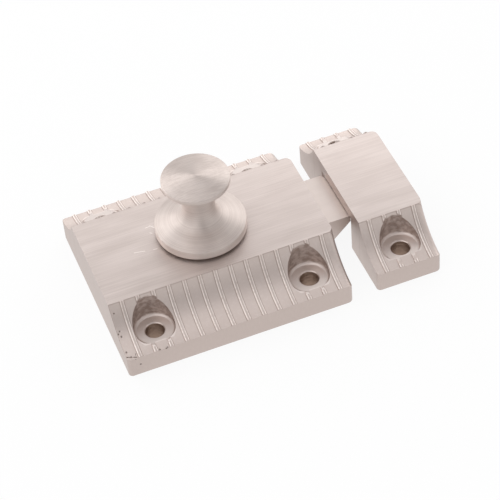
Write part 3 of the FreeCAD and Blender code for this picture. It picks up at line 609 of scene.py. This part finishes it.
def zinc_sheet(start):
    """Zinc on sheet steel: flat crystals a few millimetres wide, each with its own grey."""
    place = place_on_part(start)
    spangle = start.node("TexVoronoi", {}, {"Vector": place, "Scale": 0.35}, "Color")
    shade = along(spangle, "X")
    rolled = grain(place, (0.2, 5.0, 5.0), 2.0)
    return tint(shade, ZINC, ZINC_LIGHT), 0.35 + 0.15 * shade, rolled * 0.004


def drawn_wire(start):
    """Fine marks of the die."""
    place = place_on_part(start)
    marks = grain(place, (6.0, 6.0, 6.0), 2.0)
    return tint(marks, WIRE, WIRE_LIGHT), 0.28 + 0.10 * marks, marks * 0.003


steel_metal = metal("bright_steel", bright_steel)
sheet_metal = metal("zinc_sheet", zinc_sheet, edge=0.10)
wire_metal = metal("spring_wire", drawn_wire)

# %% Give the CAD nodes their metals
finishes = {
    "case": casting_metal, "strike": casting_metal, "bolt": bolt_metal, "back_plate": sheet_metal,
    "back_plate_screws": steel_metal, "spindle": steel_metal, "spindle_washer": steel_metal,
    "crank": steel_metal, "crank_pin": steel_metal, "crank_screw": steel_metal,
}
for name, finish in finishes.items():
    mesh = frame["nodes"][name].data
    mesh.materials.clear()
    mesh.materials.append(finish)
print(len(finishes), "CAD nodes have their metal")

# %% [markdown]
# ## The knob as one turned surface
# A turning is its profile carried round an axis. The profile runs down the outside from the middle of the
# dome, through the rim, the throat, the neck and the flare, to the skirt, and back up the bore. Each
# stretch is an arc or a line, so a few radii describe all of it. All of them are the CAD model's own.

# %% Profile of the knob
SKIRT_RADIUS, BAND, SKIRT_EDGE = 11.1, 2.3, 0.2
NECK_RADIUS, FLARE_RADIUS, FLARE_HEIGHT = 4.05, 4.4, 22.3
THROAT_HEIGHT, THROAT_RADIUS = 25.8, 5.2
HEAD_RADIUS, HEAD_RIM, HEAD_EDGE, DOME = 8.25, 1.3, 0.25, 0.8
BORE_RADIUS, BORE_DEPTH = 2.52, 8.5


def arc_between(start, stop, radius, steps):
    """Points from start to stop on a circle.

    A positive radius puts the centre on the left of the way, and a negative one on the right. The centre
    is off the chord's middle by the root of the radius squared less half the chord squared.
    """
    start, stop = np.array(start), np.array(stop)
    chord = stop - start
    length = np.linalg.norm(chord)
    left = np.array([-chord[1], chord[0]]) / length
    depth = math.sqrt(radius ** 2 - length ** 2 / 4)
    centre = (start + stop) / 2 + left * math.copysign(depth, radius)
    first = math.atan2(*(start - centre)[::-1])
    sweep = 2 * math.asin(length / 2 / abs(radius)) * math.copysign(1, radius)
    angles = first + np.linspace(0, sweep, steps)
    return centre + abs(radius) * np.stack([np.cos(angles), np.sin(angles)], axis=1)


def knob_profile():
    """The knob's outline as (radius, height) in millimetres, from the dome's middle to the bore's end."""
    band_top = bottom + BAND
    flare_centre = np.array([NECK_RADIUS + FLARE_RADIUS, FLARE_HEIGHT])
    skirt_corner = np.array([SKIRT_RADIUS - SKIRT_EDGE, band_top])
    # The skirt's cone runs from its corner and touches the flare's circle.
    away = flare_centre - skirt_corner
    reach = np.linalg.norm(away)
    turn = math.atan2(away[1], away[0]) + math.asin(FLARE_RADIUS / reach)
    cone_length = math.sqrt(reach ** 2 - FLARE_RADIUS ** 2)
    touch = skirt_corner + cone_length * np.array([math.cos(turn), math.sin(turn)])
    rim_top = top - DOME
    rim_bottom = rim_top - HEAD_RIM
    dome_edge = HEAD_RADIUS - HEAD_EDGE
    dome_radius = (dome_edge ** 2 + DOME ** 2) / (2 * DOME)
    bore_top = bottom + BORE_DEPTH
    stretches = [
        arc_between((0.0, top), (dome_edge, rim_top), -dome_radius, 40),
        arc_between((dome_edge, rim_top), (HEAD_RADIUS, rim_top - HEAD_EDGE), -HEAD_EDGE, 6),
        arc_between((HEAD_RADIUS, rim_bottom + HEAD_EDGE), (dome_edge, rim_bottom), -HEAD_EDGE, 6),
        arc_between((dome_edge, rim_bottom), (NECK_RADIUS, THROAT_HEIGHT), THROAT_RADIUS, 28),
        arc_between((NECK_RADIUS, FLARE_HEIGHT), touch, FLARE_RADIUS, 28),
        np.linspace(touch, skirt_corner, 16),
        arc_between(skirt_corner, (SKIRT_RADIUS, band_top - SKIRT_EDGE), -SKIRT_EDGE, 6),
        arc_between((SKIRT_RADIUS, bottom + SKIRT_EDGE), (skirt_corner[0], bottom), -SKIRT_EDGE, 6),
        np.array([[BORE_RADIUS, bottom], [BORE_RADIUS, bore_top], [0.0, bore_top]]),
    ]
    points = np.concatenate(stretches)
    keep = np.concatenate([[True], np.linalg.norm(np.diff(points, axis=0), axis=1) > 1e-6])
    return points[keep]


# %% A profile turned round the Z axis
def turned_surface(profile, turns):
    """Point (r, z) of the profile at angle a becomes (r cos a, r sin a, z). Its ends become the poles."""
    angles = np.arange(turns) * 2 * math.pi / turns
    rings = profile[1:-1]
    ring_points = np.empty((len(rings), turns, 3))
    ring_points[:, :, 0] = rings[:, :1] * np.cos(angles)
    ring_points[:, :, 1] = rings[:, :1] * np.sin(angles)
    ring_points[:, :, 2] = rings[:, 1:]
    poles = np.array([[0.0, 0.0, profile[0, 1]], [0.0, 0.0, profile[-1, 1]]])
    points = np.concatenate([ring_points.reshape(-1, 3), poles])
    here = np.arange(turns)
    after = (here + 1) % turns
    rows = np.arange(len(rings) - 1)[:, None] * turns
    quads = np.stack([rows + here, rows + turns + here, rows + turns + after, rows + after], axis=-1)
    first_pole = len(points) - 2
    last_row = (len(rings) - 1) * turns
    fans = [
        np.stack([np.full(turns, first_pole), here, after], axis=-1),
        np.stack([last_row + after, last_row + here, np.full(turns, first_pole + 1)], axis=-1),
    ]
    return points * MM, quads.reshape(-1, 4).tolist() + np.concatenate(fans).tolist()


# %% One function for both new pieces
SHARP_CORNER = math.radians(40)


def new_piece(name, points, faces, finish, body):
    """A smooth-shaded piece in its metal, riding on a body, with its true corners kept sharp."""
    mesh = bpy.data.meshes.new(name)
    mesh.from_pydata(points.tolist(), [], faces)
    mesh.polygons.foreach_set("use_smooth", np.ones(len(mesh.polygons), dtype=bool))
    mesh.set_sharp_from_angle(angle=SHARP_CORNER)
    mesh.materials.append(finish)
    piece = bpy.data.objects.new(name, mesh)
    bpy.context.scene.collection.objects.link(piece)
    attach(piece, body)
    print(f"{name}: {len(mesh.vertices)} points, {len(mesh.polygons)} faces")
    return piece


# %% The knob
points, faces = turned_surface(knob_profile(), turns=180)
knob = new_piece("knob_turning", points, faces, knob_metal, "knob")
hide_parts("knob")

# %% [markdown]
# ## The bolt's spring
# The spring is a wire carried along a helix.

# %% Spring
SPRING_RADIUS, WIRE_RADIUS, COILS = 2.25, 0.35, 6
spring_low, spring_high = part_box("bolt_spring")
bolt_slide = next(joint for joint in frame["joints"] if joint["name"] == "bolt_slide")
travel = bolt_slide["range_m"][1]


def coiled_wire(low_x, high_x, centre_z, steps_per_turn, around):
    """A wire round a helix. Along the wire's angle t the middle is (x, R cos t, R sin t), x growing with t.

    Round the wire's own angle b each point is the middle plus w cos b along the helix's radius and
    w sin b along the direction square to the radius and to the way.
    """
    t = np.linspace(0, 2 * math.pi * COILS, steps_per_turn * COILS + 1)[:, None]
    b = (np.arange(around) * 2 * math.pi / around)[None, :]
    rise = (high_x - low_x) / (2 * math.pi * COILS)
    zero = np.zeros_like(t)
    outward = np.stack([zero, np.cos(t), np.sin(t)], axis=-1)
    way = np.stack([zero + rise, -SPRING_RADIUS * np.sin(t), SPRING_RADIUS * np.cos(t)], axis=-1)
    way /= np.linalg.norm(way, axis=-1, keepdims=True)
    square = np.cross(way, outward)
    across, height = SPRING_RADIUS * np.cos(t), centre_z + SPRING_RADIUS * np.sin(t)
    middle = np.stack([low_x + rise * t, across, height], axis=-1)
    ring = WIRE_RADIUS * (np.cos(b)[..., None] * outward + np.sin(b)[..., None] * square)
    points = (middle + ring).reshape(-1, 3)
    here = np.arange(around)
    after = (here + 1) % around
    rows = np.arange(t.size - 1)[:, None] * around
    quads = np.stack([rows + here, rows + after, rows + around + after, rows + around + here], axis=-1)
    last = (t.size - 1) * around
    ends = [here[::-1].tolist(), (last + here).tolist()]
    return points * MM, quads.reshape(-1, 4).tolist() + ends


spring_middle = (spring_low.z + spring_high.z) / 2 / MM
wire_start = spring_low.x / MM + WIRE_RADIUS
wire_stop = spring_high.x / MM - WIRE_RADIUS
points, faces = coiled_wire(wire_start, wire_stop, spring_middle, steps_per_turn=36, around=12)
spring = new_piece("wire_spring", points, faces, wire_metal, "housing")
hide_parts("bolt_spring")
spring_length = spring_high.x - spring_low.x
print(f"spring {spring_length / MM:.1f} mm long, {travel / MM:.1f} mm less with the bolt drawn back")
(spring_length - travel) / spring_length
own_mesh(spring)
